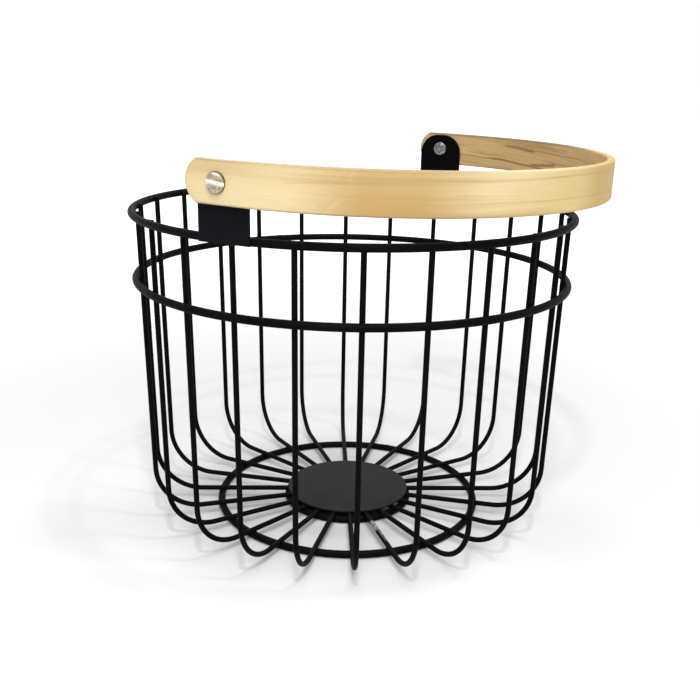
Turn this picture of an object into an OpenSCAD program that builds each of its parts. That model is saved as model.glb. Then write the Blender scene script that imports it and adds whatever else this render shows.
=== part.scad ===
// Wire egg basket: two upper rings, a foot ring and a hub ring carry a cage of bent ribs, and a bentwood
// handle swings on two barrel screws through a pair of welded tabs.
// The origin is on the ground at the basket's axis, the handle pivots about Y and lies folded towards +X.

/* [Basket] */
// Outer diameter of the rim ring
rim_d = 250.8; // [220:0.2:300]
// Height of the rim ring's top above the ground
rim_h = 180.9; // [140:0.1:240]
// Drop from the rim ring to the belly ring, centre to centre
belly_drop = 36.8; // [20:0.1:60]
// Wire diameter of the four rings
ring_wire = 4.2; // [3:0.1:5]
// Gap left for the weld film where wires, plates and rings meet
weld_gap = 0.05; // [0.02:0.01:0.1]
// How deep the welds press the ribs and the rings into each other
weld_sink = 0.5; // [0:0.1:0.8]

/* [Ribs] */
// Number of ribs round the basket
rib_count = 24; // [16:1:28]
// Wire diameter of the ribs
rib_wire = 2.9; // [2:0.1:3.6]
// Outward lean of the ribs' sides, in degrees
rib_lean = 1.4; // [0:0.1:6]
// Radius of each rib's bend between the side and the floor, at the wire's centre
bend_r = 27; // [14:0.5:34]
// How far the ribs' cut ends stay below the rim ring's top
rib_short = 0.8; // [0:0.1:1.2]
// Chamfer on the ribs' cut ends
rib_chamfer = 0.4; // [0.1:0.1:0.7]

/* [Base] */
// Distance from the start of the ribs' bends in to the foot ring
foot_inset = 12; // [6:0.1:25]
// Diameter of the centre disc
disc_d = 73.5; // [55:0.5:84]
// Thickness of the centre disc
disc_t = 1; // [0.8:0.1:2]
// Rounding of the disc's top edge
disc_edge = 0.4; // [0.1:0.1:0.6]
// How far the hub ring shows past the disc's edge
hub_show = 1.9; // [0:0.1:4]
// How far the ribs reach in under the disc
rib_tuck = 6.5; // [4:0.5:12]

/* [Tabs] */
// Width of a handle tab
tab_w = 28; // [24:0.5:36]
// Height of a handle tab above the rim ring's centre
tab_h = 35.5; // [32:0.5:48]
// Thickness of a handle tab
tab_t = 1.2; // [0.8:0.1:2.5]
// How far a tab reaches down below the rim ring's centre
tab_drop = 1.6; // [0:0.1:2.1]
// Radius of a tab's upper corners
tab_corner = 12; // [3:0.5:12]
// Height of the handle's pivot above the rim ring's centre
pivot_up = 26.5; // [22:0.5:30]

/* [Handle] */
// Thickness of the wooden band
band_t = 4.2; // [3.5:0.1:7]
// Width of the wooden band
band_w = 20.3; // [16:0.1:26]
// Rounding of the band's long edges
band_edge = 0.9; // [0.3:0.1:1.5]
// Length of the band behind the front pivot
front_tail = 17.5; // [13:0.5:22]
// Length of the band behind the rear pivot
rear_tail = 15.5; // [13:0.5:22]
// Radius of the band's rounded ends
band_end_r = 11.5; // [8:0.5:20]
// Straight length of the band from the pivot to the start of its bend
leg_l = 9.8; // [9:0.1:60]
// Angle of the folded handle above level, in degrees
handle_angle = -1; // [-3:0.5:30]

/* [Pivots] */
// Diameter of the barrel that the handle turns on
barrel_d = 5; // [4:0.1:7]
// Radial clearance of the barrel in the band
pivot_clear = 0.05; // [0.02:0.01:0.1]
// Radial clearance of the barrel in its tab, and of the screw in the barrel
seat_clear = 0.05; // [0.02:0.01:0.1]
// Side gap between a tab and the band
side_gap = 0.35; // [0.35:0.05:1]
// Side gap between the band and the screw's head
head_gap = 0.15; // [0.1:0.05:0.5]
// Diameter of the barrel's head, inside the tab
barrel_head_d = 8.9; // [8:0.1:12]
// Height of the barrel's head
barrel_head_h = 1.5; // [1.2:0.1:2.5]
// Diameter of the screw's head, outside the band
screw_head_d = 10; // [8:0.1:13]
// Height of the screw's head
screw_head_h = 1.6; // [1.4:0.1:3]
// Rounding of the heads' edges
head_edge = 0.9; // [0.2:0.1:1]
// Diameter of the screw's shank
shank_d = 3; // [2.5:0.1:3.4]
// Length of the screw's shank
shank_l = 4.6; // [3:0.1:4.8]
// Depth left in the barrel past the end of the shank
bore_spare = 0.4; // [0.2:0.1:1]
// Width of the heads' slots
slot_w = 1.6; // [0.8:0.1:2]
// Depth of the heads' slots
slot_depth = 0.8; // [0.4:0.1:1]
// Turn of the slots from level, in degrees
slot_angle = 8; // [-45:1:45]

/* [Hidden] */
ring_fn = 120;
wire_fn = 24;
round_fn = 48;
overcut = 1;

// Rings, by the radius and height of the wire's centre
rim_r = (rim_d - ring_wire) / 2;
rim_z = rim_h - ring_wire / 2;
belly_r = rim_r - belly_drop * tan(rib_lean);
belly_z = rim_z - belly_drop;
hub_r = disc_d / 2 + hub_show - ring_wire / 2;
ground_z = ring_wire / 2;

// Path of a rib's centre, as radius and height: floor run, bend, leaning side
wire_pitch = (ring_wire + rib_wire) / 2 - weld_sink;
rib_z = ground_z + wire_pitch;
rib_in_r = disc_d / 2 - rib_tuck;
rib_at_rim_r = rim_r - wire_pitch * cos(rib_lean);
rib_at_rim_z = rim_z + wire_pitch * sin(rib_lean);
rib_corner_r = rib_at_rim_r - (rib_at_rim_z - rib_z) * tan(rib_lean);
bend_angle = 90 - rib_lean;
bend_start_r = rib_corner_r - bend_r * tan(bend_angle / 2);
bend_end_z = rib_z + bend_r * (1 - sin(rib_lean));
side_l = (rim_h - rib_short - bend_end_z) / cos(rib_lean);
foot_r = bend_start_r - foot_inset;
disc_z = rib_z + rib_wire / 2 + weld_gap;

// Tabs and pivots, by the tabs' inner faces
tab_in_y = rim_d / 2 + weld_gap;
pivot_z = rim_z + pivot_up;
barrel_l = tab_t + side_gap + band_t + head_gap;
bore_l = shank_l + bore_spare;

// Half the handle's span, which is also the radius of its bend, at the band's centre
span_r = tab_in_y + tab_t + side_gap + band_t / 2;

wire_black = [0.07, 0.07, 0.075];
disc_charcoal = [0.2, 0.2, 0.21];
tab_black = [0.11, 0.11, 0.13];
wood_blonde = [0.91, 0.79, 0.57];
nickel = [0.78, 0.76, 0.71];

function rib_name(i) = str("rib_", i < 10 ? "0" : "", i);

// A ring of round wire
module wire_ring(r, z) {
    color(wire_black)
        translate([0, 0, z])
            rotate_extrude($fn = ring_fn)
                translate([r, 0])
                    circle(d = ring_wire, $fn = wire_fn);
}

module rim_ring() {
    wire_ring(rim_r, rim_z);
}

module belly_ring() {
    wire_ring(belly_r, belly_z);
}

module foot_ring() {
    wire_ring(foot_r, ground_z);
}

module hub_ring() {
    wire_ring(hub_r, ground_z);
}

// Half outline of a round plate with its upper edge rounded, to be turned about the height
module plate_profile(d, h, edge) {
    square([d / 2 - edge, h]);
    square([d / 2, h - edge]);
    intersection() {
        translate([d / 2 - edge, h - edge])
            circle(r = edge, $fn = wire_fn);
        square([d / 2, h]);
    }
}

module centre_disc() {
    color(disc_charcoal)
        translate([0, 0, disc_z])
            rotate_extrude($fn = ring_fn)
                plate_profile(disc_d, disc_t, disc_edge);
}

// One rib, with a seat for each ring it is welded to
module rib(i) {
    color(wire_black)
        rotate([0, 0, (i - 1) * 360 / rib_count - 90])
            difference() {
                bent_wire();
                ring_seat(rim_r, rim_z);
                ring_seat(belly_r, belly_z);
                ring_seat(foot_r, ground_z);
                ring_seat(hub_r, ground_z);
            }
}

// The hollow that a ring presses into a rib, its seam turned away from the rib
module ring_seat(r, z) {
    rotate([0, 0, 180])
        translate([0, 0, z])
            rotate_extrude($fn = ring_fn)
                translate([r, 0])
                    circle(d = ring_wire + 2 * weld_gap, $fn = wire_fn);
}

// The bent wire of a rib: a run along the floor under the disc, a bend, and a leaning side
module bent_wire() {
    translate([rib_in_r, 0, rib_z])
        rotate([0, 90, 0])
            cylinder(d = rib_wire, h = bend_start_r - rib_in_r, $fn = wire_fn);
    translate([bend_start_r, 0, rib_z + bend_r]) {
        rotate([90, 0, 0])
            rotate_extrude(angle = bend_angle, start = -90, $fn = ring_fn)
                translate([bend_r, 0])
                    circle(d = rib_wire, $fn = wire_fn);
        rotate([0, rib_lean, 0])
            translate([bend_r, 0, 0])
                rib_side();
    }
}

// The leaning side of a rib, standing on the end of the bend, with a chamfered upper end
module rib_side() {
    rotate_extrude($fn = wire_fn)
        polygon([
            [0, 0],
            [rib_wire / 2, 0],
            [rib_wire / 2, side_l - rib_chamfer],
            [rib_wire / 2 - rib_chamfer, side_l],
            [0, side_l]
        ]);
}

// Stands its children on the pivot axis at a tab's inner face, with their +Z pointing out of the basket
module on_pivot(turn) {
    rotate([0, 0, turn])
        translate([0, -tab_in_y, pivot_z])
            rotate([90, 0, 0])
                children();
}

// A flat tab with rounded upper corners, welded upright on the outside of the rim
module tab(turn) {
    color(tab_black)
        on_pivot(turn)
            linear_extrude(tab_t)
                difference() {
                    translate([0, -pivot_up])
                        tab_outline();
                    circle(d = barrel_d + 2 * seat_clear, $fn = round_fn);
                }
}

module tab_outline() {
    translate([-tab_w / 2, -tab_drop])
        square([tab_w, tab_drop + tab_h - tab_corner]);
    translate([tab_corner - tab_w / 2, -tab_drop])
        square([tab_w - 2 * tab_corner, tab_drop + tab_h]);
    for (side = [-1, 1])
        translate([side * (tab_w / 2 - tab_corner), tab_h - tab_corner])
            circle(r = tab_corner, $fn = round_fn);
}

module tab_front() {
    tab(0);
}

module tab_rear() {
    tab(180);
}

// Cross section of the wooden band, thickness by width
module band_section() {
    square([band_t - 2 * band_edge, band_w], center = true);
    square([band_t, band_w - 2 * band_edge], center = true);
    for (x = [-1, 1], y = [-1, 1])
        translate([x * (band_t / 2 - band_edge), y * (band_w / 2 - band_edge)])
            circle(r = band_edge, $fn = wire_fn);
}

// A leg on the front side: straight past the pivot, with a rounded end and the barrel's bore
module band_leg(tail) {
    difference() {
        intersection() {
            translate([-tail, -span_r, 0])
                rotate([90, 0, 90])
                    linear_extrude(tail + leg_l)
                        band_section();
            translate([0, -span_r + band_t, 0])
                rotate([90, 0, 0])
                    linear_extrude(2 * band_t)
                        band_end_outline(tail);
        }
        translate([0, -span_r + band_t, 0])
            rotate([90, 0, 0])
                cylinder(d = barrel_d + 2 * pivot_clear, h = 2 * band_t, $fn = round_fn);
    }
}

module band_end_outline(tail) {
    translate([band_end_r - tail, 0])
        circle(r = band_end_r, $fn = round_fn);
    translate([band_end_r - tail, -band_w])
        square([tail + leg_l, 2 * band_w]);
}

// The half round bend that joins the two legs
module band_bend() {
    translate([leg_l, 0, 0])
        rotate([0, 0, -90])
            rotate_extrude(angle = 180, $fn = ring_fn)
                translate([span_r, 0])
                    band_section();
}

module bentwood_handle() {
    color(wood_blonde)
        translate([0, 0, pivot_z])
            rotate([0, -handle_angle, 0]) {
                band_leg(front_tail);
                mirror([0, 1, 0])
                    band_leg(rear_tail);
                band_bend();
            }
}

// A round head with a rounded rim and a slot across its face, standing on z = 0
module slotted_head(d, h) {
    difference() {
        rotate_extrude($fn = round_fn)
            plate_profile(d, h, head_edge);
        rotate([0, 0, slot_angle])
            translate([-d, -slot_w / 2, h - slot_depth])
                cube([2 * d, slot_w, slot_depth + overcut]);
    }
}

// A barrel through the tab and the band, with its head against the tab's inner face
module barrel(turn) {
    color(nickel)
        on_pivot(turn) {
            mirror([0, 0, 1])
                slotted_head(barrel_head_d, barrel_head_h);
            difference() {
                cylinder(d = barrel_d, h = barrel_l, $fn = round_fn);
                translate([0, 0, barrel_l - bore_l])
                    cylinder(d = shank_d + 2 * seat_clear, h = bore_l + overcut, $fn = round_fn);
            }
        }
}

module barrel_front() {
    barrel(0);
}

module barrel_rear() {
    barrel(180);
}

// A slotted screw that closes the barrel and keeps the band on it
module screw(turn) {
    color(nickel)
        on_pivot(turn)
            translate([0, 0, barrel_l]) {
                slotted_head(screw_head_d, screw_head_h);
                translate([0, 0, -shank_l])
                    cylinder(d = shank_d, h = shank_l, $fn = round_fn);
            }
}

module screw_front() {
    screw(0);
}

module screw_rear() {
    screw(180);
}

rim_ring();
belly_ring();
foot_ring();
hub_ring();
centre_disc();
for (i = [1:rib_count]) rib(i);
tab_front();
tab_rear();
bentwood_handle();
barrel_front();
barrel_rear();
screw_front();
screw_rear();
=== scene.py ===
import math

import bmesh
import bpy
from mathutils import Matrix, Vector


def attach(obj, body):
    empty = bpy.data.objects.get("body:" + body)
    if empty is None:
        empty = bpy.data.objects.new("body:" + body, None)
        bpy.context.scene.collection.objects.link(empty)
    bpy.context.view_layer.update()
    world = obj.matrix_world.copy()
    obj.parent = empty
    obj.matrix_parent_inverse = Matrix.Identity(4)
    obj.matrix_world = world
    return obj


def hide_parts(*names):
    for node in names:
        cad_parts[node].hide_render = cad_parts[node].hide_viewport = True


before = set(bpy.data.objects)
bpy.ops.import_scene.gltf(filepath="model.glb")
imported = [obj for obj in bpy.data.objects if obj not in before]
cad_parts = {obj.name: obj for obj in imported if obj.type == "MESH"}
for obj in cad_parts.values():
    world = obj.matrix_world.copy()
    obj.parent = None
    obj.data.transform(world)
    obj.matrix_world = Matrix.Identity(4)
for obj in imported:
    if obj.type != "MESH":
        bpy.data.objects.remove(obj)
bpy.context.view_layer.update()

# Sizes of the wires, the rings and the disc, in metres
RING_WIRE = 0.0042
RIM_R = 0.1233
RIM_Z = 0.1788
BELLY_DROP = 0.0368
FOOT_INSET = 0.012
HUB_SHOWING = 0.0019
GROUND_Z = RING_WIRE / 2
RIB_COUNT = 24
RIB_WIRE = 0.0029
RIB_LEAN = math.radians(1.4)
RIB_BELOW_RIM = 0.0008
RIB_TOP = RIM_Z + RING_WIRE / 2 - RIB_BELOW_RIM
RIB_CHAMFER = 0.0004
RIB_IN_R = 0.03025
BEND_R = 0.027
WELD_SINK = 0.0005
WELD_FILM = 0.00005
WIRE_PITCH = (RING_WIRE + RIB_WIRE) / 2 - WELD_SINK
DISC_R = 0.03675
DISC_T = 0.001
DISC_TOP_EDGE = 0.0004
DISC_UNDER_EDGE = 0.00012
DISC_INSET = 0.0006

# Path of a rib's centre and the rings that it crosses
RIB_Z = GROUND_Z + WIRE_PITCH
RIB_RIM_R = RIM_R - WIRE_PITCH * math.cos(RIB_LEAN)
RIB_RIM_Z = RIM_Z + WIRE_PITCH * math.sin(RIB_LEAN)
RIB_CORNER_R = RIB_RIM_R - (RIB_RIM_Z - RIB_Z) * math.tan(RIB_LEAN)
BEND_START_R = RIB_CORNER_R - BEND_R * math.tan(math.pi / 4 - RIB_LEAN / 2)
BEND_END_Z = RIB_Z + BEND_R * (1 - math.sin(RIB_LEAN))
RIB_SIDE = (RIB_TOP - BEND_END_Z) / math.cos(RIB_LEAN)
BELLY_R = RIM_R - BELLY_DROP * math.tan(RIB_LEAN)
BELLY_Z = RIM_Z - BELLY_DROP
FOOT_R = BEND_START_R - FOOT_INSET
HUB_R = DISC_R + HUB_SHOWING - RING_WIRE / 2
DISC_Z = RIB_Z + RIB_WIRE / 2 + WELD_FILM

# The rib that is modelled points along X, and the other ribs are copies of it
FIRST_RIB = 7
CHIPPED_RIB = 4

# Welds: cuts across a ring's seam and how far it swells at them, then nuggets and the tabs' beads
SEAM_CUTS = (-0.0021, -0.0011, 0.0, 0.0011, 0.0021)
SEAM_SWELLS = ((-0.0011, 1.03), (0.0, 1.045), (0.0011, 1.03))
CUT_REACH = 0.010
SWELL_REACH = 0.005
NUGGET_R = 0.001
STANDING_NUGGET = (0.75, 1.95, 1.85)
LYING_NUGGET = (1.85, 1.95, 0.75)
BEAD_R = 0.001
BEAD_SHAPE = (1.5, 0.8, 0.85)
BEAD_START = -0.0045
BEAD_STEP = 0.0018
BEAD_RIPPLES = 6
BEAD_OUT = 0.0002

# Sizes of the handle and its pivots, in metres
TAB_W = 0.028
TAB_H = 0.0355
TAB_T = 0.0012
TAB_DROP = 0.0016
TAB_CORNER = 0.012
TAB_EDGE = 0.00018
TAB_INSET = 0.0002
TAB_IN_Y = RIM_R + RING_WIRE / 2 + WELD_FILM
PIVOT_RISE = 0.0265
PIVOT_Z = RIM_Z + PIVOT_RISE
SIDE_GAP = 0.00035
BAND_T = 0.0042
BAND_W = 0.0203
BAND_EDGE = 0.0009
BAND_INSET = 0.0004
FRONT_TAIL = 0.0175
REAR_TAIL = 0.0155
BAND_END_R = 0.0115
BAND_LEG = 0.0098
BAND_SPAN_R = TAB_IN_Y + TAB_T + SIDE_GAP + BAND_T / 2
BAND_TILT = math.radians(1)
HALF_BEND = math.pi * BAND_SPAN_R / 2
FRONT_END = -HALF_BEND - BAND_LEG - FRONT_TAIL
REAR_END = HALF_BEND + BAND_LEG + REAR_TAIL
BAND_LENGTH = REAR_END - FRONT_END
BORE_D = 0.0051
TAB_CUTTER_L = 0.01
BAND_CUTTER_L = 0.02
BARREL_D = 0.005
BARREL_PROUD = 0.00015
BARREL_L = TAB_T + SIDE_GAP + BAND_T + BARREL_PROUD
BARREL_HEAD_D = 0.0089
BARREL_HEAD_H = 0.0015
SCREW_HEAD_D = 0.010
SCREW_HEAD_H = 0.0016
HEAD_EDGE = 0.0009
HEAD_INSET = 0.00012
SHANK_D = 0.003
SHANK_L = 0.0046
SHANK_PLAY = 0.0001
BORE_L = 0.005
SLOT_W = 0.0016
SLOT_DEPTH = 0.0008
SLOT_TURN = math.radians(8)

# Fineness of the meshes
RING_STEPS = 180
RING_SIDES = 20
RIB_SIDES = 16
BEND_STEPS = 18
DISC_SIDES = 128
PIVOT_SIDES = 48
ROUND_FACE_SIDES = 40
END_ROWS = 24
COLUMNS = 144

# Tests for picking: metres off a plane that still count as on it, the share of a normal that lies along
# an axis, the area of a main face in square metres, and the angle of a hard edge
TOUCHING = 1e-6
NEARBY = 1e-5
FACING = 0.99
MAIN_FACE = 0.0005
HARD_EDGE = math.radians(60)


# Hand tools

def deselect():
    bpy.ops.object.select_all(action="DESELECT")


def hold(piece):
    """Selects one piece alone."""
    deselect()
    piece.select_set(True)
    bpy.context.view_layer.objects.active = piece


def named(name):
    """Names the piece just added, and puts its place into its mesh."""
    piece = bpy.context.object
    piece.name = name
    piece.data.name = name
    bpy.ops.object.transform_apply(location=True, rotation=True, scale=True)
    return piece


def pick(piece, kind, wanted):
    """In edit mode, selects the corners, edges or faces that pass a test."""
    bpy.ops.object.mode_set(mode="EDIT")
    bpy.ops.mesh.select_mode(type=kind)
    bpy.ops.mesh.select_all(action="DESELECT")
    shape = bmesh.from_edit_mesh(piece.data)
    shape.normal_update()
    parts = {"VERT": shape.verts, "EDGE": shape.edges, "FACE": shape.faces}[kind]
    for part in parts:
        if wanted(part):
            part.select_set(True)
    shape.select_flush_mode()
    bmesh.update_edit_mesh(piece.data)


def pick_all():
    bpy.ops.object.mode_set(mode="EDIT")
    bpy.ops.mesh.select_all(action="SELECT")


def leave_edit():
    bpy.ops.object.mode_set(mode="OBJECT")


def middle(edge):
    return (edge.verts[0].co + edge.verts[1].co) / 2


def draw_to(travel):
    """Extrudes what is selected along a vector."""
    bpy.ops.mesh.extrude_region_move(TRANSFORM_OT_translate={"value": travel})


def close_up(piece, smooth_angle=40):
    """Merges doubles, turns the faces outwards and smooths all but the hard edges."""
    pick_all()
    bpy.ops.mesh.remove_doubles(threshold=TOUCHING)
    bpy.ops.mesh.normals_make_consistent(inside=False)
    bpy.ops.mesh.select_all(action="DESELECT")
    leave_edit()
    hold(piece)
    bpy.ops.object.shade_smooth_by_angle(angle=math.radians(smooth_angle))


def cut_away(piece, cutter):
    """Cuts one piece out of another and clears the cutter away."""
    hold(piece)
    bpy.ops.object.modifier_add(type="BOOLEAN")
    cut = piece.modifiers[-1]
    cut.operation = "DIFFERENCE"
    cut.solver = "EXACT"
    cut.object = cutter
    bpy.ops.object.modifier_apply(modifier=cut.name)
    hold(cutter)
    bpy.ops.object.delete()
    hold(piece)


def turned_copy(piece, name, turn):
    """A copy with its own mesh, turned about the basket's axis."""
    hold(piece)
    bpy.ops.object.duplicate(linked=False)
    bpy.context.object.rotation_euler = (0, 0, turn)
    return named(name)


def moved_copy(piece, name, travel):
    """A copy with its own mesh, moved along a vector."""
    hold(piece)
    bpy.ops.object.duplicate(linked=False)
    bpy.context.object.location = travel
    return named(name)


def joined(pieces):
    deselect()
    for piece in pieces:
        piece.select_set(True)
    bpy.context.view_layer.objects.active = pieces[0]
    bpy.ops.object.join()
    return pieces[0]


def fit(piece, body, material, slot, *nodes):
    """Gives a finished piece its finish, its body and the solids that it stands for."""
    piece.data.materials.clear()
    piece.data.materials.append(material)
    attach(piece, body)
    if nodes:
        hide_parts(*nodes)


# Tools for the finishes

def new_finish(name):
    finish = bpy.data.materials.new(name)
    finish.use_nodes = True
    tree = finish.node_tree
    return finish, tree, tree.nodes["Principled BSDF"]


def noise(tree, coords, scale, detail=2.0, rough=0.5, warp=0.0):
    made = tree.nodes.new("ShaderNodeTexNoise")
    made.inputs["Scale"].default_value = scale
    made.inputs["Detail"].default_value = detail
    made.inputs["Roughness"].default_value = rough
    made.inputs["Distortion"].default_value = warp
    tree.links.new(coords, made.inputs["Vector"])
    return made.outputs["Fac"]


def stretched(tree, coords, scale=(1, 1, 1), turn=(0, 0, 0), shift=(0, 0, 0)):
    made = tree.nodes.new("ShaderNodeMapping")
    made.inputs["Scale"].default_value = scale
    made.inputs["Rotation"].default_value = turn
    made.inputs["Location"].default_value = shift
    tree.links.new(coords, made.inputs["Vector"])
    return made.outputs["Vector"]


def drawn_noise(tree, coords, scale, **kind):
    """Noise with its own scale on each axis, so that it draws out into fibres."""
    return noise(tree, stretched(tree, coords, scale=scale), 1, **kind)


def parted(tree, vector):
    """The three values of a vector."""
    made = tree.nodes.new("ShaderNodeSeparateXYZ")
    tree.links.new(vector, made.inputs["Vector"])
    return made.outputs["X"], made.outputs["Y"], made.outputs["Z"]


def ranged(tree, value, low, high, to_low=0.0, to_high=1.0, soft=True):
    """Carries a value from one range to another, and holds it at the ends."""
    made = tree.nodes.new("ShaderNodeMapRange")
    made.interpolation_type = "SMOOTHSTEP" if soft else "LINEAR"
    made.inputs["From Min"].default_value = low
    made.inputs["From Max"].default_value = high
    made.inputs["To Min"].default_value = to_low
    made.inputs["To Max"].default_value = to_high
    tree.links.new(value, made.inputs["Value"])
    return made.outputs["Result"]


def combined(tree, how, first, second=0.0):
    made = tree.nodes.new("ShaderNodeMath")
    made.operation = how
    tree.links.new(first, made.inputs[0])
    if isinstance(second, (int, float)):
        made.inputs[1].default_value = second
    else:
        tree.links.new(second, made.inputs[1])
    return made.outputs["Value"]


def times(tree, first, second):
    return combined(tree, "MULTIPLY", first, second)


def plus(tree, first, second):
    return combined(tree, "ADD", first, second)


def minus(tree, first, second):
    return combined(tree, "SUBTRACT", first, second)


def unsigned(tree, value):
    return combined(tree, "ABSOLUTE", value)


def distance(tree, vector, centre):
    made = tree.nodes.new("ShaderNodeVectorMath")
    made.operation = "DISTANCE"
    tree.links.new(vector, made.inputs[0])
    made.inputs[1].default_value = centre
    return made.outputs["Value"]


def window(tree, value, low, high, fade):
    """Full between two limits, fading out over a distance at each."""
    begins = ranged(tree, value, low - fade, low)
    ends = ranged(tree, value, high, high + fade, 1.0, 0.0)
    return times(tree, begins, ends)


def mixed(tree, share, first, second):
    """Mixes two colours, each written out or made by nodes."""
    made = tree.nodes.new("ShaderNodeMix")
    made.data_type = "RGBA"
    tree.links.new(share, made.inputs["Factor"])
    for socket, colour in ((made.inputs[6], first), (made.inputs[7], second)):
        if isinstance(colour, tuple):
            socket.default_value = (*colour, 1)
        else:
            tree.links.new(colour, socket)
    return made.outputs[2]


def bumped(tree, shader, relief, strength, depth):
    made = tree.nodes.new("ShaderNodeBump")
    made.inputs["Strength"].default_value = strength
    made.inputs["Distance"].default_value = depth
    tree.links.new(relief, made.inputs["Height"])
    tree.links.new(made.outputs["Normal"], shader.inputs["Normal"])


# Powder coats of the wires, the tabs and the disc

# Light grey for what faces up: partly dusting, partly a painted sheen
DUST_AND_SHEEN = (0.22, 0.21, 0.20)
BARE_STEEL = (0.42, 0.415, 0.40)
# Painted blue-grey sheen for the tabs' outer faces
SHEEN_BLACK = (0.0085, 0.0091, 0.0118)
WIRE_COAT = dict(dark=(0.0030, 0.0030, 0.0030), light=(0.0044, 0.0044, 0.0043),
                 rough_low=0.42, rough_high=0.55, gloss=0.024)
TAB_COAT = dict(dark=(0.0012, 0.0012, 0.0013), light=(0.0019, 0.0019, 0.0020),
                rough_low=0.46, rough_high=0.60, gloss=0.03)
DISC_COAT = dict(dark=(0.0170, 0.0170, 0.0190), light=(0.0195, 0.0195, 0.0215),
                 rough_low=0.52, rough_high=0.66, gloss=0.075)


def powder_coat(name, dark, light, rough_low, rough_high, gloss):
    """A baked powder coat: fine orange peel, cloudy tone, and on what faces up a faint lighter grey that is
    partly dusting and partly a painted sheen.
    """
    finish, tree, shader = new_finish(name)
    coords = tree.nodes.new("ShaderNodeTexCoord").outputs["Object"]
    facing = tree.nodes.new("ShaderNodeNewGeometry").outputs["Normal"]
    peel = noise(tree, coords, 1500, detail=3, rough=0.6)
    clouds = noise(tree, coords, 60, detail=3)
    dust_and_sheen_spread = noise(tree, coords, 320, detail=4, rough=0.7)
    tone = mixed(tree, ranged(tree, clouds, 0.3, 0.7), dark, light)
    # Painted sheen and dusting: what faces up is a little lighter
    up = ranged(tree, parted(tree, facing)[2], 0.2, 1.0)
    dust_and_sheen = times(tree, up, ranged(tree, dust_and_sheen_spread, 0.45, 0.8, 0.0, 0.03))
    colour = mixed(tree, dust_and_sheen, tone, DUST_AND_SHEEN)
    tree.links.new(colour, shader.inputs["Base Color"])
    tree.links.new(ranged(tree, peel, 0.3, 0.7, rough_low, rough_high), shader.inputs["Roughness"])
    shader.inputs["Specular IOR Level"].default_value = gloss
    bumped(tree, shader, peel, strength=0.25, depth=0.00012)
    return finish, tree, shader, coords, colour


def chipped_powder_coat(name, **coat):
    """The same coat on the one rib that is chipped and scuffed to bright steel along its floor run."""
    finish, tree, shader, coords, colour = powder_coat(name, **coat)
    back_to_x = math.radians((FIRST_RIB - CHIPPED_RIB) * 360 / RIB_COUNT)
    on_rib = stretched(tree, coords, turn=(0, 0, back_to_x))
    along, across, height = parted(tree, on_rib)
    above = ranged(tree, height, 0.0040, 0.0052)
    chip_zone = times(tree, window(tree, along, 0.0495, 0.0580, 0.002), above)
    scuff_zone = times(tree, window(tree, along, 0.057, 0.070, 0.005), above)
    scuff_side = ranged(tree, across, -0.0009, 0.0)
    flakes = noise(tree, stretched(tree, on_rib, scale=(0.6, 1, 1)), 1100, detail=4, rough=0.65)
    strokes = noise(tree, stretched(tree, on_rib, scale=(0.12, 1, 1)), 1900, detail=3, rough=0.6)
    chips = times(tree, chip_zone, ranged(tree, flakes, 0.42, 0.48))
    scuffs = times(tree, scuff_zone, scuff_side)
    scuffs = times(tree, scuffs, ranged(tree, strokes, 0.35, 0.60, 0.10, 0.5))
    bare = combined(tree, "MAXIMUM", chips, scuffs)
    tree.links.new(mixed(tree, bare, colour, BARE_STEEL), shader.inputs["Base Color"])
    tree.links.new(times(tree, bare, 0.5), shader.inputs["Metallic"])
    return finish


def tab_coat(name, **coat):
    """Powder coat on sheet, with a painted faint blue-grey sheen that makes the outer faces lighter than the
    inner ones.
    """
    finish, tree, shader, coords, colour = powder_coat(name, **coat)
    from_middle = unsigned(tree, parted(tree, coords)[1])
    # Painted sheen: the outer faces are lighter than the inner faces
    outside = ranged(tree, from_middle, TAB_IN_Y + 0.3 * TAB_T, TAB_IN_Y + 0.8 * TAB_T)
    sheen_spread = noise(tree, coords, 140, detail=4, rough=0.6)
    sheen = times(tree, outside, ranged(tree, sheen_spread, 0.3, 0.7, 0.75, 1.0))
    tree.links.new(mixed(tree, sheen, colour, SHEEN_BLACK), shader.inputs["Base Color"])
    return finish


# Bent wood. Its zones are in metres along the flat band, from the front end at about -0.23 to the rear
# end at about 0.23, and across it, with the upper edge of the folded handle at 0.010.

PALE_STRAW = (0.925, 0.765, 0.445)
STRAW = (0.86, 0.685, 0.375)
LINE_TAN = (0.76, 0.55, 0.26)
GOLD = (0.605, 0.385, 0.140)
WARM_STRAW = (0.885, 0.655, 0.300)
HONEY = (0.725, 0.505, 0.178)
CORNER_TAN = (0.70, 0.49, 0.22)
OUTER_STREAK = (0.60, 0.40, 0.17)
FIGURE_BROWN = (0.50, 0.31, 0.11)
# Painted shade for part of the lower edge
LOWER_EDGE_SHADE = (0.52, 0.34, 0.14)
FLECK_CREAM = (0.96, 0.84, 0.60)
PALE_TAN = (0.62, 0.405, 0.175)
TAN = (0.53, 0.335, 0.14)
BEND_TAN = (0.75, 0.495, 0.212)
BEND_SHADE = (0.56, 0.375, 0.18)
REAR_LEG_TAN = (0.71, 0.475, 0.22)
FLAME_BROWN = (0.36, 0.205, 0.08)
INNER_STREAK = (0.25, 0.135, 0.05)
FIBRE_TAN = (0.58, 0.39, 0.18)
PORE_BROWN = (0.34, 0.205, 0.09)
EDGE_BROWN = (0.40, 0.29, 0.18)
# Painted shade for the far leg's upper edge
FAR_EDGE_SHADE = (0.22, 0.155, 0.09)
# Painted shade for a line along the front leg's eased upper edge
EASED_EDGE_SHADE = (0.50, 0.38, 0.23)
# Painted highlight for the front leg's narrow upper side
NARROW_SIDE_HIGHLIGHT = (0.84, 0.74, 0.66)
# End grain of the front end, with a painted grey highlight
FRONT_END_GRAIN_AND_HIGHLIGHT = (0.58, 0.51, 0.445)
REAR_END_GRAIN = (0.46, 0.35, 0.23)

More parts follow.
